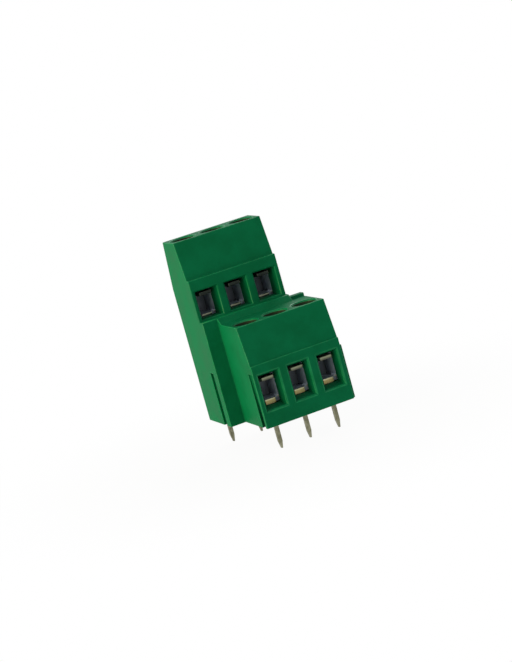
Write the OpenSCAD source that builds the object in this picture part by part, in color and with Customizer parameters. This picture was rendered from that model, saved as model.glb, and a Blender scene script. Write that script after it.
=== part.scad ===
// Two-tier PCB screw terminal: a green moulded housing with a tall rear row and a low front row
// of rising-cage clamps. The front row stands half a pitch to the right of the rear row.
// The origin is on the board plane, at the centre of the housing's footprint. Wires enter from -Y.

/* [Rows of poles] */
// Distance between neighbouring poles in a row
pitch = 5.08; // [4.9:0.02:5.6]
// Number of poles in each row
poles = 3; // [2:1:5]
// Sideways shift of the front row against the rear row
row_shift = 2.54; // [2.2:0.02:2.9]
// Distance between the rear row of solder pins and the front row
pin_row_gap = 15.24; // [14.8:0.02:15.7]

/* [Housing side outline] */
// Depth of the housing, from its back to the face of the front block
depth = 19.9; // [19.5:0.05:21.5]
// Depth of the rear block at the board
rear_depth = 10.25; // [9.9:0.05:10.8]
// Height that the rear block's top stands above the front block's top
tier_rise = 14.0; // [13.2:0.1:16]
// Height of the bend in the housing's back
back_bend_z = 22.4; // [21.8:0.1:24]
// How far the back leans forward above its bend
back_lean = 1.45; // [0.6:0.05:1.7]
// Step from the rear block's lower wall back to its wire face
face_step = 1.3; // [0.9:0.05:1.5]
// Height of that step above the front block's top
face_step_rise = 1.0; // [0.8:0.05:1.4]
// Height of the ridge along the back of the front block's top
ridge_h = 0.55; // [0.3:0.05:0.75]
// How far the fillet under the step runs out over the front block's top
step_fillet = 1.15; // [0.6:0.05:1.6]
// Height of each block's marking slope
slope_h = 6.2; // [5.6:0.1:6.6]
// How far each marking slope leans back
slope_run = 1.38; // [1:0.02:1.5]
// Width of the small ledge at the foot of the rear block's slope
upper_ledge = 0.8; // [0.5:0.05:0.95]
// Width of the small ledge at the foot of the front block's slope
lower_ledge = 0.32; // [0.2:0.02:0.45]

/* [Wire entries] */
// Width of the upper wire entries at the face
upper_entry_w = 3.75; // [3.3:0.05:3.9]
// Height of the upper wire entries at the face
upper_entry_h = 4.6; // [4.3:0.1:5]
// Width of the lower wire entries at the face
lower_entry_w = 3.4; // [3.2:0.05:3.8]
// Height of the lower wire entries at the face
lower_entry_h = 5.75; // [5.2:0.05:6.2]
// How far the lower wire entries' floors lie below the open cages
lower_floor_drop = 0.45; // [0.2:0.05:0.6]
// How far the upper wire entries' floors lie above the undersides of the open cages
upper_floor_rise = 0.45; // [0.3:0.05:0.7]
// Width of the bevel round the mouth of each entry
mouth_bevel = 0.2; // [0.1:0.05:0.3]
// Width of each entry's throat, where it meets the clamp
throat_w = 2.9; // [2.7:0.05:3.1]

/* [Clamp mechanism] */
// Height of the current bar's underside above the board, in the front block
bar_z = 7.25; // [6.9:0.05:7.6]
// Distance from the upper wire face back to the screw's axis
upper_setback = 4.7; // [4.6:0.05:4.9]
// Distance from the lower wire face back to the screw's axis
lower_setback = 4.15; // [4.05:0.05:4.4]
// Width of the rising cage
cage_w = 3.9; // [3.8:0.02:4]
// Length of the rising cage, along the wire
cage_len = 3.6; // [3.5:0.05:3.9]
// Thickness of the cage's side walls
cage_side_t = 0.5; // [0.4:0.02:0.52]
// Thickness of the cage's floor, which lifts the wire
cage_floor_t = 0.8; // [0.6:0.05:0.9]
// Thickness of the cage's threaded roof
cage_roof_t = 1.6; // [1.4:0.05:2]
// Height of the space for the wire when the clamp is open
wire_gap = 3.3; // [3.2:0.05:3.5]
// Play between the current bar and the cage's roof when the clamp is open
window_play = 0.3; // [0.2:0.05:0.4]
// Width of the nose that the cage's floor has at each end
nose_w = 1.75; // [1.5:0.05:2]
// Length of that nose
nose_len = 0.5; // [0.3:0.05:0.7]
// Radius of the cage's outer corners
cage_corner_r = 0.45; // [0.3:0.05:0.6]
// Radius of the corners of the cage's window
window_corner_r = 0.25; // [0.1:0.05:0.3]
// Half width of each grip groove across the cage's floor
grip_half_w = 0.3; // [0.2:0.05:0.4]
// Depth of each grip groove
grip_depth = 0.15; // [0.1:0.05:0.2]
// Turns of the screw from open to shut
screw_turns = 6; // [5:0.25:6]
// Lift of the cage for each turn of the screw
screw_lead = 0.5; // [0.4:0.05:0.5]
// Outer radius of the screw's thread
screw_r = 1.45; // [1.3:0.01:1.5]
// Radius of the screw's head
head_r = 1.85; // [1.75:0.01:1.9]
// Height of the screw's head
head_h = 1.7; // [1.4:0.05:2]
// Width of the slot in the screw's head
slot_w = 0.8; // [0.5:0.05:1]
// Depth of the slot in the screw's head
slot_depth = 0.9; // [0.5:0.05:1]
// Chamfer round the top of the screw's head
head_chamfer = 0.25; // [0.1:0.05:0.4]
// Chamfer at the screw's tip
tip_chamfer = 0.5; // [0.3:0.05:0.7]
// Depth of the driver well above the screw's head
well_cover = 1.2; // [0.8:0.05:2]

/* [Current bars and solder pins] */
// Thickness of the sheet that the current bars are bent from
bar_t = 0.5; // [0.4:0.02:0.6]
// Width of the current bar inside the cage
bar_w = 2.4; // [2:0.05:2.6]
// Clip at the corners of the current bar's tip
bar_clip = 0.25; // [0.1:0.05:0.4]
// Distance from each wire face back to the current bar's tip
bar_recess = 0.85; // [0.6:0.05:1.1]
// Width of each solder pin
pin_w = 0.7; // [0.6:0.02:0.9]
// Length of each solder pin below the board plane
pin_len = 4.3; // [3.2:0.1:5]
// Length of each solder pin's tapered tip
pin_taper = 1.2; // [0.8:0.1:1.6]
// Height of the front bars' feet above the board plane
foot_z = 0.4; // [0.2:0.05:0.6]

/* [Walls and ends] */
// Wall between the housing's back and the rear row of solder pins
back_wall = 1.25; // [1:0.05:1.3]
// Thickness of the shelf under each screw's head
shelf_t = 0.6; // [0.5:0.05:1]
// Width of each moulding pocket between the two rows
pocket_w = 2.1; // [1.8:0.05:2.3]
// Pairs of moulding pockets, with a rib between them on the centre line
pocket_pairs = 2; // [1:1:2]
// Rib between neighbouring moulding pockets
pocket_rib = 0.8; // [0.6:0.05:1]
// Wall left between the moulding pockets and the clamp shafts or the blocks' ends
pocket_wall = 0.9; // [0.7:0.05:1.2]
// Material left over the moulding pockets
pocket_roof = 1.8; // [1.2:0.1:3]
// Height of the joining grooves in the left ends
groove_h = 8.8; // [6:0.1:10]
// Width of each joining groove at its mouth
groove_mouth = 1.4; // [1.1:0.05:1.5]
// Width of each joining groove at its floor
groove_floor = 1.6; // [1.5:0.05:1.7]
// Depth of each joining groove
groove_depth = 0.5; // [0.35:0.05:0.55]
// Distance from the rear block's front wall back to its groove
rear_groove_setback = 2.4; // [2.2:0.05:2.6]
// Distance from the front block's face back to its groove
front_groove_setback = 1.35; // [1.2:0.05:1.4]

/* [Clearances] */
// Gap on each side of a cage in its shaft
cage_gap = 0.05; // [0.03:0.01:0.08]
// Gap in front of a cage, and behind it over the current bar
cage_end_gap = 0.1; // [0.05:0.01:0.15]
// Gap over a cage when its clamp is shut
cage_top_gap = 0.15; // [0.1:0.01:0.3]
// Radial gap round the screw in the cage's thread
thread_gap = 0.05; // [0.02:0.01:0.08]
// Radial gap round the screw's head in its well
head_gap = 0.1; // [0.05:0.01:0.15]
// Small working gap between pieces that pass or rest on each other
work_gap = 0.05; // [0.03:0.01:0.1]
// Gap round a current bar in the housing
bar_gap = 0.1; // [0.05:0.01:0.15]
// Gap between the cage and the leg behind it
leg_gap = 0.7; // [0.5:0.05:0.8]
// Gap round a joining rib in its groove
rib_gap = 0.06; // [0.04:0.01:0.1]

/* [Hidden] */
UPPER = "upper";
LOWER = "lower";

housing_green = [0.0, 0.37, 0.21];
plated_steel = [0.74, 0.74, 0.70];
cage_brass = [0.70, 0.60, 0.36];
tinned_copper = [0.62, 0.60, 0.48];

$fn = 48;
cut = 0.5;                                // how far a cutter stands out of what it cuts
bend_steps = 6;                           // flats round each bend and rounded corner
straight = 0.5;                           // a corner that turns by fewer degrees is no bend

// Across the row
row_w = poles * pitch;
left_x = -(row_w + row_shift) / 2;
shaft_w = cage_w + 2 * cage_gap;

// Front to back: Y falls from the back towards the wire entries
back_y = depth / 2;
front_y = -depth / 2;
step_y = back_y - rear_depth;             // rear block's lower wall
upper_face_y = step_y + face_step;
upper_slope_y = upper_face_y + upper_ledge;
lower_slope_y = front_y + lower_ledge;
rear_pin_y = back_y - back_wall - bar_t / 2;

// Up the clamp, measured in the front block; the rear block's clamps stand tier_rise higher
travel = screw_turns * screw_lead;
bar_top = bar_z + bar_t;
cage_z = bar_z - wire_gap - cage_floor_t;
window_h = wire_gap + bar_t + window_play;
cage_h = cage_floor_t + window_h + cage_roof_t;
ceiling_z = cage_z + cage_h + travel + cage_top_gap;
head_z = ceiling_z + shelf_t + work_gap;
lower_top_z = head_z + head_h + well_cover;
upper_top_z = lower_top_z + tier_rise;
step_z = lower_top_z + face_step_rise;
slant_z = foot_z + 2 * bar_t;             // a rear leg may slant from here up, to reach its pin
slant_top_z = slant_z + 3 * bar_t;

function tier_x(tier) = left_x + (tier == LOWER ? row_shift : 0);
function axis_x(tier, i) = tier_x(tier) + (i - 0.5) * pitch;
function face_y(tier) = tier == UPPER ? upper_face_y : front_y;
function axis_y(tier) = face_y(tier) + (tier == UPPER ? upper_setback : lower_setback);
function rise(tier) = tier == UPPER ? tier_rise : 0;
function top_z(tier) = lower_top_z + rise(tier);
function leg_y(tier) = axis_y(tier) + cage_len / 2 + leg_gap + bar_t / 2;
function pin_y(tier) = rear_pin_y - (tier == UPPER ? 0 : pin_row_gap);
function entry_floor_z(tier) = cage_z + rise(tier) + (tier == UPPER ? upper_floor_rise : -lower_floor_drop);
function cage_front_y(tier) = axis_y(tier) - cage_len / 2;

// Corner points of a rectangle with rounded corners, centred on the origin
function rounded_rect(w, h, r) = [
    for (q = [0:3], k = [0:bend_steps])
        let (a = 90 * (q + k / bend_steps), sx = q == 0 || q == 3 ? 1 : -1, sy = q < 2 ? 1 : -1)
            [sx * (w / 2 - r) + r * cos(a), sy * (h / 2 - r) + r * sin(a)]
];

// One edge of a bent strip: side is +1 for the left edge and -1 for the right edge
function unit(v) = v / norm(v);
function left_of(v) = [-v[1], v[0]];
function strip_edge(path, t, r, side) = concat(
    [path[0] + left_of(unit(path[1] - path[0])) * side * t / 2],
    [for (i = [1:1:len(path) - 2])
        let (a = unit(path[i] - path[i - 1]), b = unit(path[i + 1] - path[i]),
            way = sign(left_of(a) * b), turn = acos(a * b), inward = left_of(a) * way,
            centre = path[i] - a * r * tan(turn / 2) + inward * r, edge_r = r - side * way * t / 2)
            if (turn > straight)
                for (k = [0:bend_steps])
                    let (angle = turn * k / bend_steps)
                        centre + edge_r * (a * sin(angle) - inward * cos(angle))],
    [path[len(path) - 1] + left_of(unit(path[len(path) - 1] - path[len(path) - 2])) * side * t / 2]
);
function reversed(list) = [for (i = [len(list) - 1:-1:0]) list[i]];

// Outline of a strip of thickness t that follows a path of bends, of mean radius r
function strip(path, t, r) = concat(strip_edge(path, t, r, 1), reversed(strip_edge(path, t, r, -1)));

// Side outline [y, z] carried across the row from x, for a width w
module across(x, w) {
    translate([x, 0, 0]) rotate([90, 0, 90]) linear_extrude(w) children();
}

// ---- housing ----

module rear_block() {
    top_z = upper_top_z;
    across(left_x, row_w) polygon([
        [back_y, 0], [back_y, back_bend_z], [back_y - back_lean, top_z],
        [upper_slope_y + slope_run, top_z], [upper_slope_y, top_z - slope_h],
        [upper_face_y, top_z - slope_h], [upper_face_y, step_z], [step_y, step_z], [step_y, 0]
    ]);
}

module front_block() {
    top_z = lower_top_z;
    across(left_x + row_shift, row_w) polygon([
        [upper_face_y, 0], [upper_face_y, top_z + ridge_h], [step_y, top_z + ridge_h], [step_y, top_z],
        [lower_slope_y + slope_run, top_z], [lower_slope_y, top_z - slope_h],
        [front_y, top_z - slope_h], [front_y, 0]
    ]);
    // Fillet between the rear block's wall and the front block's top
    across(left_x + row_shift, row_w - row_shift) polygon([
        [upper_face_y, top_z - cut], [upper_face_y, step_z], [step_y, step_z],
        [step_y - step_fillet, top_z], [step_y - step_fillet, top_z - cut]
    ]);
}

// Dovetail outline [x, y] that widens from its mouth at x = 0 to its floor at x = depth
module dovetail(mouth, floor, depth) {
    polygon([[-cut, mouth / 2], [0, mouth / 2], [depth, floor / 2],
        [depth, -floor / 2], [0, -mouth / 2], [-cut, -mouth / 2]]);
}

// Places the joining profile at each block's end: side 0 is the left end, side 1 the right end
module at_block_ends(side) {
    translate([left_x + side * row_w, step_y + rear_groove_setback, 0]) children();
    translate([left_x + row_shift + side * row_w, front_y + front_groove_setback, 0]) children();
}

module end_grooves() {
    at_block_ends(0) translate([0, 0, -cut])
        linear_extrude(groove_h + cut) dovetail(groove_mouth, groove_floor, groove_depth);
}

module end_ribs() {
    at_block_ends(1) linear_extrude(groove_h - work_gap)
        dovetail(groove_mouth - 2 * rib_gap, groove_floor - 2 * rib_gap, groove_depth - rib_gap);
}

// Funnel from the wire face into the clamp: its plan and its side view cut each other
module wire_entry(tier, i) {
    w = tier == UPPER ? upper_entry_w : lower_entry_w;
    h = tier == UPPER ? upper_entry_h : lower_entry_h;
    floor_z = entry_floor_z(tier);
    outer_y = face_y(tier);
    throat_y = cage_front_y(tier);
    throat_floor_z = max(floor_z, cage_z + rise(tier));
    throat_top_z = bar_top + rise(tier) + bar_gap;
    translate([axis_x(tier, i), 0, 0]) intersection() {
        translate([0, 0, floor_z - mouth_bevel - cut]) linear_extrude(h + 2 * (mouth_bevel + cut)) polygon([
            [-w / 2 - mouth_bevel - cut, outer_y - cut], [-w / 2, outer_y + mouth_bevel],
            [-throat_w / 2, throat_y], [-throat_w / 2, throat_y + cut],
            [throat_w / 2, throat_y + cut], [throat_w / 2, throat_y],
            [w / 2, outer_y + mouth_bevel], [w / 2 + mouth_bevel + cut, outer_y - cut]
        ]);
        across(-w, 2 * w) polygon([
            [outer_y - cut, floor_z - mouth_bevel - cut], [outer_y + mouth_bevel, floor_z],
            [throat_y, throat_floor_z], [throat_y + cut, throat_floor_z],
            [throat_y + cut, throat_top_z], [throat_y, throat_top_z],
            [outer_y + mouth_bevel, floor_z + h], [outer_y - cut, floor_z + h + mouth_bevel + cut]
        ]);
    }
}

// Room for one clamp: a shaft open at the board, a recess for the leg and its foot, the screw's
// neck and its well
module clamp_room(tier, i) {
    up = rise(tier);
    left = axis_x(tier, i) - shaft_w / 2;
    front = cage_front_y(tier) - cage_end_gap;
    back = axis_y(tier) + cage_len / 2 + cage_end_gap;
    leg_back = leg_y(tier) + bar_t / 2;
    foot_front = min(leg_y(tier), pin_y(tier)) - bar_t / 2 - bar_gap;
    foot_back = max(leg_y(tier), pin_y(tier)) + bar_t / 2;
    foot_top = (tier == UPPER ? slant_top_z + bar_t : foot_z + bar_t) + bar_gap;
    well_r = head_r + head_gap;
    well_z = ceiling_z + shelf_t;
    across(left, shaft_w) polygon([
        [front, -cut], [front, up + ceiling_z], [back, up + ceiling_z],
        [back, up + bar_top + bar_gap], [leg_back, up + bar_top + bar_gap], [leg_back, -cut]
    ]);
    across(left, shaft_w) polygon([
        [foot_front, -cut], [foot_front, foot_top], [foot_back, foot_top], [foot_back, -cut]
    ]);
    translate([axis_x(tier, i), axis_y(tier), up]) {
        translate([0, 0, ceiling_z - cut]) cylinder(r = screw_r + thread_gap, h = shelf_t + 2 * cut);
        translate([0, 0, well_z]) cylinder(r = well_r, h = lower_top_z - well_z + cut);
        translate([0, 0, lower_top_z - mouth_bevel])
            cylinder(r1 = well_r, r2 = well_r + mouth_bevel + cut, h = mouth_bevel + cut);
    }
}

// Pockets under the wall between the two rows, where the blocks stand side by side
module moulding_pockets() {
    front = leg_y(LOWER) + bar_t / 2 + pocket_wall;
    back = cage_front_y(UPPER) - cage_end_gap - pocket_wall;
    half_row = (row_w - row_shift) / 2 - pocket_wall;
    intersection() {
        for (side = [-1, 1], k = [0:pocket_pairs - 1])
            translate([side * (k + 0.5) * (pocket_w + pocket_rib) - pocket_w / 2, front, -cut])
                cube([pocket_w, back - front, lower_top_z - pocket_roof + cut]);
        translate([-half_row, front - cut, -2 * cut])
            cube([2 * half_row, back - front + 2 * cut, lower_top_z + cut]);
    }
}

module housing() {
    color(housing_green) difference() {
        union() {
            rear_block();
            front_block();
            end_ribs();
        }
        end_grooves();
        moulding_pockets();
        for (tier = [UPPER, LOWER], i = [1:poles]) {
            clamp_room(tier, i);
            wire_entry(tier, i);
        }
    }
}

// ---- clamp screw: slotted cheese head, thread as its outer envelope, tip on the current bar ----

module screw(tier, i) {
    tip_z = bar_top + work_gap;
    top = head_z + head_h;
    color(plated_steel) translate([axis_x(tier, i), axis_y(tier), rise(tier)]) difference() {
        rotate_extrude() polygon([
            [0, tip_z], [screw_r - tip_chamfer, tip_z], [screw_r, tip_z + tip_chamfer],
            [screw_r, head_z], [head_r, head_z],
            [head_r, top - head_chamfer], [head_r - head_chamfer, top], [0, top]
        ]);
        translate([-head_r - cut, -slot_w / 2, top - slot_depth])
            cube([2 * (head_r + cut), slot_w, slot_depth + cut]);
    }
}

// ---- rising cage: a closed ring round the wire and the current bar, threaded in its roof ----

module cage(tier, i) {
    window_w = cage_w - 2 * cage_side_t;
    color(cage_brass) translate([axis_x(tier, i), axis_y(tier), rise(tier) + cage_z]) difference() {
        translate([0, cage_len / 2, cage_h / 2]) rotate([90, 0, 0])
            linear_extrude(cage_len) polygon(rounded_rect(cage_w, cage_h, cage_corner_r));
        translate([0, cage_len / 2 + cut, cage_floor_t + window_h / 2]) rotate([90, 0, 0])
            linear_extrude(cage_len + 2 * cut) polygon(rounded_rect(window_w, window_h, window_corner_r));
        translate([0, 0, cage_floor_t + window_h - cut])
            cylinder(r = screw_r + thread_gap, h = cage_roof_t + 2 * cut);
        // Notches that leave the nose at each end of the floor
        for (side = [-1, 1], end = [-1, 1])
            translate([side * (nose_w + cage_w) / 2, end * cage_len / 2, 0])
                cube([cage_w, 2 * nose_len, 2 * cage_floor_t], center = true);
        // Grip grooves across the floor, under the wire
        for (k = [-1:1])
            across(-window_w / 2 + window_corner_r, window_w - 2 * window_corner_r) polygon([
                [k * cage_len / 4 - 2 * grip_half_w, cage_floor_t + grip_depth],
                [k * cage_len / 4, cage_floor_t - grip_depth],
                [k * cage_len / 4 + 2 * grip_half_w, cage_floor_t + grip_depth]
            ]);
    }
}

// ---- current bar: one bent strip with its contact tongue, its leg and its solder pin ----

module bar(tier, i) {
    up = rise(tier);
    x = axis_x(tier, i);
    bend_r = bar_t;
    tip_y = face_y(tier) + bar_recess;
    tongue_z = up + bar_z + bar_t / 2;
    leg = leg_y(tier);
    pin = pin_y(tier);
    // A rear leg stands over its pin or slants to reach it; a front leg has a foot under its cage
    foot = tier == UPPER ? [[leg, slant_top_z], [pin, slant_z]]
        : [[leg, foot_z + bar_t / 2], [pin, foot_z + bar_t / 2]];
    path = concat([[tip_y, tongue_z], [leg, tongue_z]], foot, [[pin, -pin_len]]);
    leg_front = tier == UPPER ? min(leg, pin) : leg;
    leg_back = tier == UPPER ? max(leg, pin) : leg;
    shoulder_z = tier == UPPER ? foot_z : foot_z - bar_t;
    leg_foot_z = foot_z + bar_t + bend_r;
    color(tinned_copper) intersection() {
        across(x - shaft_w / 2, shaft_w) polygon(strip(path, bar_t, bend_r));
        union() {
            // Leg across the full shaft, up to the bend into the tongue
            translate([x, leg_back + bar_t, 0]) rotate([90, 0, 0])
                linear_extrude(leg_back - leg_front + 2 * bar_t) polygon([
                    [-shaft_w / 2, leg_foot_z], [-shaft_w / 2, up + bar_z - bend_r],
                    [-bar_w / 2, up + bar_z], [-bar_w / 2, up + bar_top + cut],
                    [bar_w / 2, up + bar_top + cut], [bar_w / 2, up + bar_z],
                    [shaft_w / 2, up + bar_z - bend_r], [shaft_w / 2, leg_foot_z],
                    [bar_w / 2, leg_foot_z - bend_r], [bar_w / 2, shoulder_z], [-bar_w / 2, shoulder_z],
                    [-bar_w / 2, leg_foot_z - bend_r]
                ]);
            // Tongue, with its corners clipped at the tip
            translate([x, 0, up + bar_z - cut]) linear_extrude(bar_t + 2 * cut) polygon([
                [-bar_w / 2, leg], [-bar_w / 2, tip_y + bar_clip], [-bar_w / 2 + bar_clip, tip_y],
                [bar_w / 2 - bar_clip, tip_y], [bar_w / 2, tip_y + bar_clip], [bar_w / 2, leg]
            ]);
            // Foot and solder pin
            translate([x, max(leg, pin) + bar_t, 0]) rotate([90, 0, 0])
                linear_extrude(abs(leg - pin) + 2 * bar_t) polygon([
                    [-bar_w / 2, foot_z], [-bar_w / 2, leg_foot_z - bend_r],
                    [bar_w / 2, leg_foot_z - bend_r], [bar_w / 2, foot_z],
                    [pin_w / 2, foot_z - bar_t / 2], [pin_w / 2, pin_taper - pin_len],
                    [pin_w / 6, -pin_len], [-pin_w / 6, -pin_len],
                    [-pin_w / 2, pin_taper - pin_len], [-pin_w / 2, foot_z - bar_t / 2]
                ]);
        }
    }
}

housing();
for (tier = [UPPER, LOWER], i = [1:poles]) {
    screw(tier, i);
    cage(tier, i);
    bar(tier, i);
}
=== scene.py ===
"""Looks for a two-tier screw terminal: moulded green housing, slotted screws, brass cages, tinned bars."""

import math

import bmesh
import bpy
import numpy as np
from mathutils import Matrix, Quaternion, Vector

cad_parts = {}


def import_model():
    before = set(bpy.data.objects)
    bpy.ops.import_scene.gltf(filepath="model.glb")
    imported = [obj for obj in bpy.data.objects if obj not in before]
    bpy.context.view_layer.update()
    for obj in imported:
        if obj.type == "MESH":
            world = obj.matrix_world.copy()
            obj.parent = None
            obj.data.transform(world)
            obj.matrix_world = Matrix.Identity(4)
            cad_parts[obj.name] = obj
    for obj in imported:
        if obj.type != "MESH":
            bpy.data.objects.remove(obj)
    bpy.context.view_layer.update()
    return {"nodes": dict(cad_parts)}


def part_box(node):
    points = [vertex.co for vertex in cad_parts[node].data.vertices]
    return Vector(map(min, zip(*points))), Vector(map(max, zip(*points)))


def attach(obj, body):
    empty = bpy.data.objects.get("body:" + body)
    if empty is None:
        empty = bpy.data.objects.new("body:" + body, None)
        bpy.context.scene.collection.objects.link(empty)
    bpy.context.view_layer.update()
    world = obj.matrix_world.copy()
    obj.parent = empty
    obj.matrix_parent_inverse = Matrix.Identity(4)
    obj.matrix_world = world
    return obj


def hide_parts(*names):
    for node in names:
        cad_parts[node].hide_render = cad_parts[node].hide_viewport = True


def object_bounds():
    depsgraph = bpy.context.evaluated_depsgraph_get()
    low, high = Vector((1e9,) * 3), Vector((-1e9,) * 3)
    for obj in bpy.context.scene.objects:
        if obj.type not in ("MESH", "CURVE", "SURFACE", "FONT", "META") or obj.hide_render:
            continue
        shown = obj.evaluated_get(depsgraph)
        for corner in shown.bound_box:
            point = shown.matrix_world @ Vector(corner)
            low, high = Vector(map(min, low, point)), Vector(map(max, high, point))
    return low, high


MM = 0.001

# ---- sizes, in millimetres ----

HEAD_RADIUS, HEAD_HEIGHT = 1.85, 1.7    # clamp screw's head
TURNING_MARK = 0.09                     # from one ring that the lathe left on the head to the next
THREAD_RADIUS, THREAD_DEPTH, THREAD_LEAD = 1.42, 0.27, 0.5
THREAD_COLUMNS, THREAD_ROWS = 40, 10    # points round the shank, and points along one lead of it
THREAD_INTO_HEAD = 0.3                  # how far the threaded shank runs up into the head
TIP_CHAMFER = 0.5
WELL_RADIUS, WELL_COVER = 1.96, 1.2     # driver well, and its depth above the screw's head
WELL_MARGIN = 0.1                       # painted shade in the wells starts this far under the head, and stops so far under the rim
NOSE_DEPTH = 0.35                       # front of the cage's floor that the wires rub
FLOOR_TOP = 0.8                         # height of that floor over the cage's underside
RIM_LOW, RIM_HIGH = 0.54, 0.64          # and of the rim of its nose, which carries a painted highlight
TONGUE_LOW, TONGUE_HIGH = 11.6, 11.95   # over the pin's tip: the tongue's thickness in a lower bar, across which its painted shade fades
HOUSING_EASE, HEAD_EASE, CAGE_EASE, BAR_EASE = 0.1, 0.05, 0.04, 0.03
ROOM_PER_EASE = 2.2                     # clear room that an eased edge needs, as a multiple of its radius
SAME_POINT, SAME_EASED_POINT = 0.002, 0.0005    # points nearer are joined, before and after the easing
CUT_OVER_UNDERSIDE = 0.02               # where a screw's head is cut from its plain shank

SHARP_TURN = math.radians(28)           # an edge that turns by more is eased
FLAT_TURN = math.radians(0.5)           # an edge that turns by less is dissolved

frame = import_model()
nodes = frame["nodes"]

# ---- shader helpers ----


def srgb(red, green, blue):
    """Linear colour of an 8-bit display colour: (c / 255) through the sRGB curve, channel by channel."""
    c = np.array([red, green, blue]) / 255
    linear = np.where(c <= 0.04045, c / 12.92, ((c + 0.055) / 1.055) ** 2.4)
    return (*linear.tolist(), 1.0)


def add(tree, kind, **values):
    """One new shader node; a value is set as the node's own property, or on the input of that name."""
    node = tree.nodes.new("ShaderNode" + kind)
    for key, value in values.items():
        if hasattr(node, key):
            setattr(node, key, value)
        else:
            node.inputs[key.replace("_", " ")].default_value = value
    return node


def arithmetic(tree, operation, a, b, clamp=False):
    """Math node on two inputs, each of them a socket or a number."""
    node = add(tree, "Math", operation=operation, use_clamp=clamp)
    for socket, value in zip(node.inputs, (a, b)):
        if isinstance(value, bpy.types.NodeSocket):
            tree.links.new(value, socket)
        else:
            socket.default_value = value
    return node.outputs[0]


def ramp(tree, value, low, high, to_low=0.0, to_high=1.0):
    """Smooth step of value from low..high to to_low..to_high."""
    node = add(tree, "MapRange", interpolation_type="SMOOTHSTEP")
    node.inputs["From Min"].default_value = low
    node.inputs["From Max"].default_value = high
    node.inputs["To Min"].default_value = to_low
    node.inputs["To Max"].default_value = to_high
    tree.links.new(value, node.inputs["Value"])
    return node.outputs["Result"]


def blend_colour(tree, factor, a, b):
    """Colour a with b laid over it by factor."""
    node = add(tree, "Mix", data_type="RGBA", blend_type="MIX")
    for socket, value in zip((node.inputs[0], node.inputs[6], node.inputs[7]), (factor, a, b)):
        if isinstance(value, bpy.types.NodeSocket):
            tree.links.new(value, socket)
        else:
            socket.default_value = value
    return node.outputs[2]


def new_group(name, inputs, outputs):
    """Node group with a Vector input, float inputs {name: default} and outputs {name: kind}."""
    group = bpy.data.node_groups.new(name, "ShaderNodeTree")
    face = group.interface
    face.new_socket("Vector", in_out="INPUT", socket_type="NodeSocketVector")
    for label, default in inputs.items():
        face.new_socket(label, in_out="INPUT", socket_type="NodeSocketFloat").default_value = default
    for label, kind in outputs.items():
        face.new_socket(label, in_out="OUTPUT", socket_type="NodeSocket" + kind)
    return group, group.nodes.new("NodeGroupInput"), group.nodes.new("NodeGroupOutput")


def noise(tree, vector, scale, detail=3.0, roughness=0.5):
    """Noise value 0..1 at a number of cells per metre, which may be a socket."""
    node = add(tree, "TexNoise", Detail=detail, Roughness=roughness)
    tree.links.new(vector, node.inputs["Vector"])
    if isinstance(scale, bpy.types.NodeSocket):
        tree.links.new(scale, node.inputs["Scale"])
    else:
        node.inputs["Scale"].default_value = scale
    return node.outputs["Fac"]


# ---- effects that several finishes share ----


def make_mould_grain():
    """Fine spark-eroded grain and slow flow marks of a moulded or rolled surface: two noises added."""
    group, given, out = new_group(
        "mould_grain", {"Grain Scale": 9000.0, "Flow Scale": 220.0, "Flow Share": 0.35},
        {"Height": "Float", "Flow": "Float"},
    )
    fine = noise(group, given.outputs["Vector"], given.outputs["Grain Scale"], 2.0)
    slow = noise(group, given.outputs["Vector"], given.outputs["Flow Scale"], 4.0, 0.6)
    slow_part = arithmetic(group, "MULTIPLY", slow, given.outputs["Flow Share"])
    group.links.new(arithmetic(group, "ADD", fine, slow_part), out.inputs["Height"])
    group.links.new(slow, out.inputs["Flow"])
    return group


def make_edge_wear():
    """Edge mask for wear and painted highlights: the piece's own 'edge' attribute, broken up by noise, times
    an amount.
    """
    group, given, out = new_group("edge_wear_and_sheen", {"Amount": 0.6, "Break Scale": 1500.0}, {"Mask": "Float"})
    edge = add(group, "Attribute", attribute_name="edge")
    breaks = noise(group, given.outputs["Vector"], given.outputs["Break Scale"], 4.0, 0.6)
    broken = arithmetic(group, "ADD", ramp(group, breaks, 0.3, 0.62), 0.35)
    share = arithmetic(group, "MULTIPLY", edge.outputs["Fac"], broken)
    mask = arithmetic(group, "MULTIPLY", share, given.outputs["Amount"], clamp=True)
    group.links.new(mask, out.inputs["Mask"])
    return group


def make_dust():
    """Dust mask: grows with how far the face looks up, gathers in specks by noise."""
    group, given, out = new_group("dust", {"Amount": 0.3, "Speck Scale": 2600.0}, {"Mask": "Float"})
    facing = add(group, "NewGeometry")
    split = add(group, "SeparateXYZ")
    group.links.new(facing.outputs["Normal"], split.inputs[0])
    upward = ramp(group, split.outputs["Z"], 0.1, 1.0)
    specks = noise(group, given.outputs["Vector"], given.outputs["Speck Scale"], 5.0, 0.7)
    lying = arithmetic(group, "MULTIPLY", upward, ramp(group, specks, 0.45, 0.75))
    mask = arithmetic(group, "MULTIPLY", lying, given.outputs["Amount"])
    group.links.new(mask, out.inputs["Mask"])
    return group


mould_grain, edge_wear_and_sheen, dust = make_mould_grain(), make_edge_wear(), make_dust()


def use(tree, group, vector, **values):
    """Places a shared effect in a material with that material's own values."""
    node = tree.nodes.new("ShaderNodeGroup")
    node.node_tree = group
    tree.links.new(vector, node.inputs["Vector"])
    for key, value in values.items():
        node.inputs[key.replace("_", " ")].default_value = value
    return node


def new_finish(name):
    """Empty material with its Principled shader; returns (material, tree, shader, object coordinates)."""
    material = bpy.data.materials.new(name)
    material.use_nodes = True
    tree = material.node_tree
    tree.nodes.clear()
    shader = add(tree, "BsdfPrincipled")
    target = add(tree, "OutputMaterial")
    tree.links.new(shader.outputs[0], target.inputs["Surface"])
    return material, tree, shader, add(tree, "TexCoord").outputs["Object"]


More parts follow.
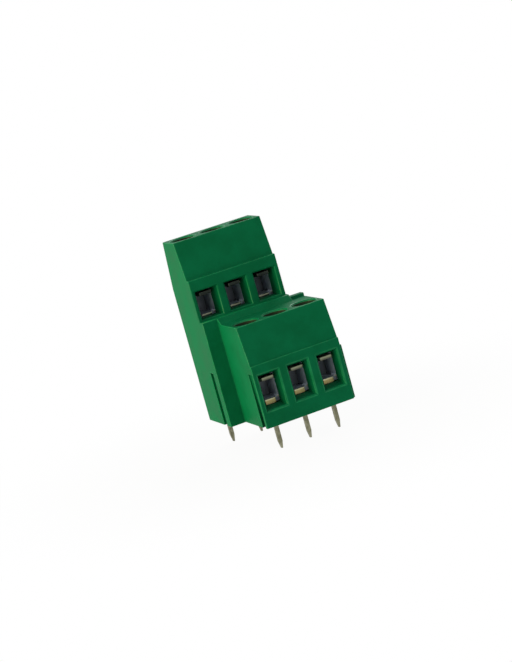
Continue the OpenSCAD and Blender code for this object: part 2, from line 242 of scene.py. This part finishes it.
def bump(tree, shader, height, depth, strength=1.0):
    """Feeds a height, through a Bump node of the given depth in metres, into the shader's normal."""
    node = add(tree, "Bump", Strength=strength, Distance=depth)
    tree.links.new(height, node.inputs["Height"])
    tree.links.new(node.outputs[0], shader.inputs["Normal"])


def height_share(tree, place, low, high):
    """Share 0..1 by height over the board between low and high, in metres."""
    split = add(tree, "SeparateXYZ")
    tree.links.new(place, split.inputs[0])
    return ramp(tree, split.outputs["Z"], low, high)


def own_place(tree):
    """Position in millimetres from a corner of the piece's own box, as its three separate sockets."""
    split = add(tree, "SeparateXYZ")
    tree.links.new(add(tree, "Attribute", attribute_name="place").outputs["Vector"], split.inputs[0])
    return split.outputs


# ---- finishes ----


def green_moulding():
    """Housing plastic: deep green nylon with slow colour flow and fine grain, edges paler and smoother from
    wear and a painted highlight, a little dust, and painted brown shade down in the driver wells."""
    material, tree, shader, place = new_finish("green_moulding")
    shader.inputs["IOR"].default_value = 1.5
    shader.inputs["Specular IOR Level"].default_value = 0.06
    grain = use(tree, mould_grain, place, Grain_Scale=7000.0, Flow_Scale=260.0, Flow_Share=0.3)
    wear_and_sheen = use(tree, edge_wear_and_sheen, place, Amount=0.13, Break_Scale=700.0)
    dusty = use(tree, dust, place, Amount=0.02, Speck_Scale=2200.0)
    flow = ramp(tree, grain.outputs["Flow"], 0.3, 0.7)
    colour = blend_colour(tree, flow, srgb(1, 99, 61), srgb(4, 109, 70))
    # paler edges: partly rubbed wear, partly a painted highlight along the eased edges
    colour = blend_colour(tree, wear_and_sheen.outputs["Mask"], colour, srgb(30, 198, 120))
    colour = blend_colour(tree, dusty.outputs["Mask"], colour, srgb(150, 158, 146))
    # painted shade: faces down in the driver wells are darkened to brown
    well = add(tree, "Attribute", attribute_name="well").outputs["Fac"]
    painted_well_shade = arithmetic(tree, "MULTIPLY", well, ramp(tree, grain.outputs["Flow"], 0.2, 0.6, 0.6, 0.85))
    colour = blend_colour(tree, painted_well_shade, colour, srgb(50, 40, 34))
    tree.links.new(colour, shader.inputs["Base Color"])
    tree.links.new(ramp(tree, grain.outputs["Flow"], 0.25, 0.75, 0.5, 0.62), shader.inputs["Roughness"])
    burnished = use(tree, edge_wear_and_sheen, place, Amount=0.24, Break_Scale=500.0)
    tree.links.new(burnished.outputs["Mask"], shader.inputs["Coat Weight"])
    shader.inputs["Coat Roughness"].default_value = 0.3
    bump(tree, shader, grain.outputs["Height"], 0.000012, 0.5)
    return material


def plated_steel():
    """Screw steel: zinc plating over the rings that the lathe left on the head, paler on worn edges."""
    material, tree, shader, place = new_finish("plated_steel")
    shader.inputs["Metallic"].default_value = 1.0
    grain = use(tree, mould_grain, place, Grain_Scale=12000.0, Flow_Scale=700.0, Flow_Share=0.6)
    wear_and_sheen = use(tree, edge_wear_and_sheen, place, Amount=0.5, Break_Scale=2000.0)
    flow = ramp(tree, grain.outputs["Flow"], 0.3, 0.7)
    colour = blend_colour(tree, flow, srgb(150, 148, 140), srgb(186, 184, 176))
    colour = blend_colour(tree, wear_and_sheen.outputs["Mask"], colour, srgb(210, 208, 200))
    tree.links.new(colour, shader.inputs["Base Color"])
    tree.links.new(ramp(tree, grain.outputs["Flow"], 0.3, 0.7, 0.3, 0.46), shader.inputs["Roughness"])
    x, y, _ = own_place(tree)
    across, along = (
        arithmetic(tree, "POWER", arithmetic(tree, "SUBTRACT", v, HEAD_RADIUS), 2.0) for v in (x, y)
    )
    radius = arithmetic(tree, "SQRT", arithmetic(tree, "ADD", across, along), 0.0)
    rings = arithmetic(tree, "SINE", arithmetic(tree, "MULTIPLY", radius, math.tau / TURNING_MARK), 0.0)
    height = arithmetic(tree, "ADD", grain.outputs["Height"], arithmetic(tree, "MULTIPLY", rings, 0.35))
    bump(tree, shader, height, 0.000006, 0.5)
    return material


def cage_brass():
    """Cage brass under dull zinc plating. On the nose of the floor, where wires go in, the lower cages are
    rubbed through to warm tan, the upper ones are darkened by painted shade, and a painted highlight runs
    along the nose's rim."""
    material, tree, shader, place = new_finish("cage_brass")
    grain = use(tree, mould_grain, place, Grain_Scale=9000.0, Flow_Scale=800.0, Flow_Share=0.8)
    wear_and_sheen = use(tree, edge_wear_and_sheen, place, Amount=0.8, Break_Scale=2500.0)
    flow = ramp(tree, grain.outputs["Flow"], 0.35, 0.65)
    lower_tier = height_share(tree, place, 0.014, 0.010)
    plating = blend_colour(tree, flow, srgb(156, 166, 180), srgb(172, 182, 194))
    rubbed = blend_colour(tree, flow, srgb(150, 136, 90), srgb(170, 158, 110))
    # painted shade: the noses of the upper cages, deeper in the housing, are dark grey instead of tan
    nose = blend_colour(tree, lower_tier, srgb(54, 55, 58), rubbed)
    _, y, z = own_place(tree)
    on_floor = ramp(tree, z, FLOOR_TOP + 0.2, FLOOR_TOP)
    on_nose = arithmetic(tree, "MULTIPLY", on_floor, ramp(tree, y, NOSE_DEPTH, 0.1))
    colour = blend_colour(tree, on_nose, plating, nose)
    # painted highlight: a pale line along the nose's rim, stronger where the edge mask is high
    rim = arithmetic(tree, "MULTIPLY", on_nose, ramp(tree, z, RIM_LOW, RIM_HIGH))
    painted_rim_highlight = arithmetic(tree, "MULTIPLY", rim, arithmetic(tree, "ADD", wear_and_sheen.outputs["Mask"], 0.45), clamp=True)
    colour = blend_colour(tree, painted_rim_highlight, colour, srgb(206, 210, 176))
    tree.links.new(colour, shader.inputs["Base Color"])
    tree.links.new(ramp(tree, on_nose, 0.0, 1.0, 0.15, 1.0), shader.inputs["Metallic"])
    tree.links.new(ramp(tree, grain.outputs["Flow"], 0.3, 0.7, 0.34, 0.5), shader.inputs["Roughness"])
    bump(tree, shader, grain.outputs["Height"], 0.000008, 0.4)
    return material


def tinned_copper():
    """Bars and solder pins: tin over copper, grey-olive on pin and tongue with a darker film in patches, and
    a dull slate bloom on the leg inside the housing. Painted shade darkens each tongue towards its underside,
    and the upper bars' tongues all over."""
    material, tree, shader, place = new_finish("tinned_copper")
    grain = use(tree, mould_grain, place, Grain_Scale=8000.0, Flow_Scale=1100.0, Flow_Share=1.0)
    wear_and_sheen = use(tree, edge_wear_and_sheen, place, Amount=0.3, Break_Scale=2500.0)
    film = ramp(tree, grain.outputs["Flow"], 0.32, 0.68)
    _, y, z = own_place(tree)
    colour = blend_colour(tree, film, srgb(110, 109, 88), srgb(142, 141, 118))
    # painted shade: each tongue is darker towards its underside
    tongue = blend_colour(
        tree, ramp(tree, z, TONGUE_LOW, TONGUE_HIGH), srgb(86, 88, 73), srgb(132, 137, 112),
    )
    # painted shade: the upper bars' tongues are dark all over
    tongue = blend_colour(tree, height_share(tree, place, 0.010, 0.018), tongue, srgb(40, 46, 42))
    colour = blend_colour(tree, height_share(tree, place, 0.001, 0.006), colour, tongue)
    inside = arithmetic(tree, "MULTIPLY", height_share(tree, place, 0.0005, 0.002), ramp(tree, y, 1.0, 2.0))
    colour = blend_colour(tree, inside, colour, srgb(132, 140, 150))
    colour = blend_colour(tree, wear_and_sheen.outputs["Mask"], colour, srgb(176, 174, 152))
    tree.links.new(colour, shader.inputs["Base Color"])
    tree.links.new(ramp(tree, inside, 0.0, 1.0, 1.0, 0.15), shader.inputs["Metallic"])
    tree.links.new(ramp(tree, grain.outputs["Flow"], 0.3, 0.7, 0.5, 0.34), shader.inputs["Roughness"])
    bump(tree, shader, grain.outputs["Height"], 0.00001, 0.45)
    return material


housing_finish, screw_finish, cage_finish, bar_finish = (
    green_moulding(), plated_steel(), cage_brass(), tinned_copper(),
)

# ---- pieces ----


def keep_masks(mesh, is_edge, corner):
    """Stores two corner attributes: 'edge', 1 on eased outer edges and 0 elsewhere, and 'place', the
    position in millimetres from a corner of the piece's own box."""
    counts = np.zeros(len(mesh.polygons), np.int32)
    mesh.polygons.foreach_get("loop_total", counts)
    mesh.attributes.new("edge", "FLOAT", "CORNER").data.foreach_set(
        "value", np.repeat(is_edge.astype(np.float32), counts))
    points = np.zeros(len(mesh.vertices) * 3, np.float32)
    mesh.vertices.foreach_get("co", points)
    of_corner = np.zeros(len(mesh.loops), np.int32)
    mesh.loops.foreach_get("vertex_index", of_corner)
    own = (points.reshape(-1, 3)[of_corner] - np.array(corner)) / MM
    mesh.attributes.new("place", "FLOAT_VECTOR", "CORNER").data.foreach_set(
        "vector", own.ravel().astype(np.float32))


def finish_piece(name, mesh, material, body, slot, *replaced):
    """Links a mesh as a piece that rides on a body and stands for CAD nodes, which it hides; the slot is not
    used.
    """
    mesh.name = name
    mesh.materials.append(material)
    mesh.polygons.foreach_set("use_smooth", np.ones(len(mesh.polygons), bool))
    piece = bpy.data.objects.new(name, mesh)
    bpy.context.scene.collection.objects.link(piece)
    even = piece.modifiers.new("even_shading", "WEIGHTED_NORMAL")
    even.keep_sharp = True
    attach(piece, body)
    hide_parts(*replaced)


def roomy_edges(work, edges, room):
    """Those of the edges that have room round them: no point of the solid but their own two lies nearer to
    them than room, and neither of those two lies so near to another of the edges. The distance is that of
    each point p to each edge a + t (b - a), with t = clip((p - a) . (b - a) / |b - a|^2, 0, 1)."""
    work.verts.index_update()
    points = np.array([v.co for v in work.verts])
    ends = np.array([[v.index for v in e.verts] for e in edges])
    start = points[ends[:, 0]]
    span = points[ends[:, 1]] - start
    away = points[:, None] - start
    along = np.clip((away * span).sum(axis=2) / (span ** 2).sum(axis=1), 0, 1)
    gap = np.linalg.norm(away - along[..., None] * span, axis=2)
    number = np.arange(len(points))[:, None]
    near = (gap < room) & (ends[:, 0] != number) & (ends[:, 1] != number)
    crowded = near.any(axis=0) | near.any(axis=1)[ends].any(axis=1)
    return [edge for edge, close in zip(edges, crowded) if not close]


def eased_copy(node, radius, segments, keep_above=None):
    """Merged copy of a CAD solid, in millimetres while it is worked on. Every sharp edge that has room is
    replaced by an arc of the given radius in that many steps. What lies lower than keep_above is cut off
    first, and the cut is closed."""
    work = bmesh.new()
    work.from_mesh(nodes[node].data)
    bmesh.ops.scale(work, vec=(1 / MM,) * 3, verts=work.verts)
    bmesh.ops.remove_doubles(work, verts=work.verts, dist=SAME_POINT)
    bmesh.ops.dissolve_limit(work, angle_limit=FLAT_TURN, verts=work.verts, edges=work.edges)
    if keep_above is not None:
        everything = list(work.verts) + list(work.edges) + list(work.faces)
        cut = bmesh.ops.bisect_plane(
            work, geom=everything, plane_co=(0, 0, keep_above), plane_no=(0, 0, 1), clear_inner=True,
        )["geom_cut"]
        bmesh.ops.edgeloop_fill(work, edges=[e for e in cut if isinstance(e, bmesh.types.BMEdge)])
        bmesh.ops.recalc_face_normals(work, faces=work.faces)
    sharp = [e for e in work.edges if e.is_manifold and abs(e.calc_face_angle_signed()) > SHARP_TURN]
    for face in work.faces:
        face.smooth = False
    made = bmesh.ops.bevel(
        work, geom=roomy_edges(work, sharp, ROOM_PER_EASE * radius), offset=radius, offset_type="OFFSET",
        segments=segments, profile=0.5, affect="EDGES", clamp_overlap=False,
    )
    for face in made["faces"]:
        face.smooth = True                  # until the piece is finished, this marks the eased edges
    bmesh.ops.remove_doubles(work, verts=work.verts, dist=SAME_EASED_POINT)
    is_edge = np.array([
        f.smooth and sum(e.calc_face_angle_signed(0) * e.calc_length() for e in f.edges) > 0
        for f in work.faces
    ])
    bmesh.ops.scale(work, vec=(MM,) * 3, verts=work.verts)
    mesh = bpy.data.meshes.new(node + "_eased")
    work.to_mesh(mesh)
    work.free()
    keep_masks(mesh, is_edge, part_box(node)[0])
    return mesh


def threaded_shank(axis, tip, top):
    """Shank in millimetres on a grid of heights and angles. Its radius is the outer radius less the depth
    times a clipped triangle wave of the fractional part of height / lead - angle / turn, a right-hand
    thread. It stays inside the cone of the tip's chamfer, and both ends close in a point on the axis."""
    turn = np.linspace(0, math.tau, THREAD_COLUMNS, endpoint=False)
    height = np.arange(tip, top + 0.02, THREAD_LEAD / THREAD_ROWS)
    z, angle = np.meshgrid(height, turn, indexing="ij")
    wave = np.abs(2 * np.mod(z / THREAD_LEAD - angle / math.tau, 1.0) - 1)
    r = THREAD_RADIUS - THREAD_DEPTH * np.clip(1.3 * wave - 0.2, 0, 1)
    r = np.minimum(r, THREAD_RADIUS - TIP_CHAMFER + (z - tip))
    rings = np.stack([axis[0] + r * np.cos(angle), axis[1] + r * np.sin(angle), z], -1).reshape(-1, 3)
    points = np.vstack([rings, [(*axis, height[0]), (*axis, height[-1])]])
    rows, columns = z.shape
    k = np.arange(rows * columns).reshape(rows, columns)
    low, high, on = k[:-1], k[1:], np.roll(k, -1, axis=1)
    sides = np.stack([low, on[:-1], on[1:], high], -1).reshape(-1, 4)
    foot = np.stack([on[0], k[0], np.full(columns, len(rings))], -1)
    crown = np.stack([k[-1], on[-1], np.full(columns, len(rings) + 1)], -1)
    return points, sides.tolist() + foot.tolist() + crown.tolist()


def screw_mesh(node):
    """Slotted head, cut from the solid just above its underside and closed there, with eased edges, and a
    threaded shank that runs up into it."""
    low, high = (np.array(corner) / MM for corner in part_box(node))
    axis, underside = ((low + high) / 2)[:2], high[2] - HEAD_HEIGHT
    mesh = eased_copy(node, HEAD_EASE, 2, keep_above=underside + CUT_OVER_UNDERSIDE)
    points, faces = threaded_shank(axis, low[2], underside + THREAD_INTO_HEAD)
    shank = bpy.data.meshes.new("shank")
    shank.from_pydata((points * MM).tolist(), [], faces)
    keep_masks(shank, np.zeros(len(faces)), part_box(node)[0])
    both = bmesh.new()
    for part in (mesh, shank):
        both.from_mesh(part)
    both.to_mesh(mesh)
    both.free()
    bpy.data.meshes.remove(shank)
    return mesh


def keep_wells(mesh):
    """Stores the corner attribute 'well', where the housing's painted shade goes: 1 on faces whose centre is
    nearer than a well's radius to the axis of a screw and between its head's underside and the rim of the
    well, and 0 elsewhere."""
    centres = np.zeros(len(mesh.polygons) * 3)
    mesh.polygons.foreach_get("center", centres)
    centres = centres.reshape(-1, 3) / MM
    counts = np.zeros(len(mesh.polygons), np.int32)
    mesh.polygons.foreach_get("loop_total", counts)
    low, high = (np.array([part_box(name)[end] for name in nodes if "_screw_" in name]) / MM for end in (0, 1))
    axes, crowns = (low + high)[:, :2] / 2, high[:, 2]
    reach = np.linalg.norm(centres[:, None, :2] - axes[None], axis=2)
    rise = centres[:, 2:] - crowns[None]
    within = (rise > -HEAD_HEIGHT - WELL_MARGIN) & (rise < WELL_COVER - WELL_MARGIN)
    inside = ((reach < WELL_RADIUS) & within).any(axis=1)
    mesh.attributes.new("well", "FLOAT", "CORNER").data.foreach_set(
        "value", np.repeat(inside.astype(np.float32), counts))


housing_mesh = eased_copy("housing", HOUSING_EASE, 3)
keep_wells(housing_mesh)
finish_piece(
    "moulded_housing", housing_mesh, housing_finish, "housing_assembly", "housing_plastic", "housing",
)

for tier in ("upper", "lower"):
    for pole in (1, 2, 3):
        screw, cage, bar = (f"{tier}_{kind}_{pole}" for kind in ("screw", "cage", "bar"))
        finish_piece(
            f"{tier}_clamp_screw_{pole}", screw_mesh(screw), screw_finish, screw, "screw_steel", screw,
        )
        finish_piece(
            f"{tier}_wire_cage_{pole}", eased_copy(cage, CAGE_EASE, 2), cage_finish, cage, "cage_brass", cage,
        )
        finish_piece(
            f"{tier}_current_bar_{pole}", eased_copy(bar, BAR_EASE, 2), bar_finish, "housing_assembly",
            "tinned_metal", bar,
        )

# ---- floor, light and camera ----

low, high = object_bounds()
centre = (low + high) / 2


def floor():
    """Pale floor under the pins: a flat square that takes the object's shadow."""
    half = 1.2
    mesh = bpy.data.meshes.new("floor")
    corners = [(-half, -half, low.z), (half, -half, low.z), (half, half, low.z), (-half, half, low.z)]
    mesh.from_pydata(corners, [], [(0, 1, 2, 3)])
    piece = bpy.data.objects.new("floor", mesh)
    bpy.context.scene.collection.objects.link(piece)
    material = bpy.data.materials.new("pale_floor")
    material.use_nodes = True
    tree = material.node_tree
    tree.nodes.clear()
    matte = add(tree, "BsdfDiffuse", Color=srgb(218, 218, 218))
    pale = add(tree, "Emission", Color=(1, 1, 1, 1), Strength=1.0)
    seen = add(tree, "LightPath")
    share = arithmetic(tree, "MAXIMUM", seen.outputs["Is Camera Ray"], seen.outputs["Is Glossy Ray"])
    share = arithmetic(tree, "MAXIMUM", share, seen.outputs["Is Transmission Ray"])
    away = add(tree, "VectorMath", operation="LENGTH")
    tree.links.new(add(tree, "TexCoord").outputs["Object"], away.inputs[0])
    share = arithmetic(tree, "MULTIPLY", share, ramp(tree, away.outputs["Value"], 0.012, 0.06, 0.95, 1.0))
    mix = add(tree, "MixShader")
    tree.links.new(share, mix.inputs[0])
    tree.links.new(matte.outputs[0], mix.inputs[1])
    tree.links.new(pale.outputs[0], mix.inputs[2])
    tree.links.new(mix.outputs[0], add(tree, "OutputMaterial").inputs["Surface"])
    mesh.materials.append(material)


def world():
    """Plain grey light from all round; white where the camera or a reflection looks straight at it."""
    sky = bpy.data.worlds.new("plain_sky")
    sky.use_nodes = True
    tree = sky.node_tree
    tree.nodes.clear()
    seen = add(tree, "LightPath")
    share = arithmetic(tree, "MAXIMUM", seen.outputs["Is Camera Ray"], seen.outputs["Is Glossy Ray"])
    share = arithmetic(tree, "MAXIMUM", share, seen.outputs["Is Transmission Ray"])
    soft = add(tree, "Background", Color=(1, 1, 1, 1), Strength=0.48)
    white = add(tree, "Background", Color=(1, 1, 1, 1), Strength=1.0)
    mix = add(tree, "MixShader")
    tree.links.new(share, mix.inputs[0])
    tree.links.new(soft.outputs[0], mix.inputs[1])
    tree.links.new(white.outputs[0], mix.inputs[2])
    tree.links.new(mix.outputs[0], add(tree, "OutputWorld").inputs["Surface"])
    bpy.context.scene.world = sky


def lamp(name, azimuth, elevation, distance, size, energy, colour=(1.0, 1.0, 1.0)):
    """Square soft lamp that looks at the object from a bearing (0 is in front of the wire entries, 90 at its
    right end) and a height angle, in degrees, with distance and size in metres and energy in watts."""
    a, e = math.radians(azimuth), math.radians(elevation)
    away = Vector((math.sin(a) * math.cos(e), -math.cos(a) * math.cos(e), math.sin(e)))
    data = bpy.data.lights.new(name, "AREA")
    data.shape, data.size, data.energy, data.color = "SQUARE", size, energy, colour
    piece = bpy.data.objects.new(name, data)
    piece.location = centre + away * distance
    piece.rotation_mode = "QUATERNION"
    piece.rotation_quaternion = away.to_track_quat("Z", "Y")
    bpy.context.scene.collection.objects.link(piece)


def camera():
    """Camera for the three-quarter view, by bearing, height angle and lean about its own axis."""
    bearing, rise, lean = math.radians(-18.74), math.radians(10.10), math.radians(-15.50)
    aim, distance = Vector((-0.43, 0.21, 13.34)) * MM, 328.1 * MM
    back = Vector((math.sin(bearing) * math.cos(rise), -math.cos(bearing) * math.cos(rise), math.sin(rise)))
    data = bpy.data.cameras.new("camera")
    data.lens, data.clip_start, data.clip_end = 112.2, 0.01, 10.0
    piece = bpy.data.objects.new("camera", data)
    piece.location = aim + back * distance
    piece.rotation_mode = "QUATERNION"
    piece.rotation_quaternion = back.to_track_quat("Z", "Y") @ Quaternion((0, 0, 1), lean)
    bpy.context.scene.collection.objects.link(piece)
    bpy.context.scene.camera = piece


floor()
world()
lamp("key_lamp", -82, 7, 0.45, 0.32, 2.65, (1.0, 0.94, 0.5))
lamp("rear_lamp", 140, 40, 0.45, 0.25, 0.7)
camera()
bpy.context.scene.view_settings.view_transform = "Standard"
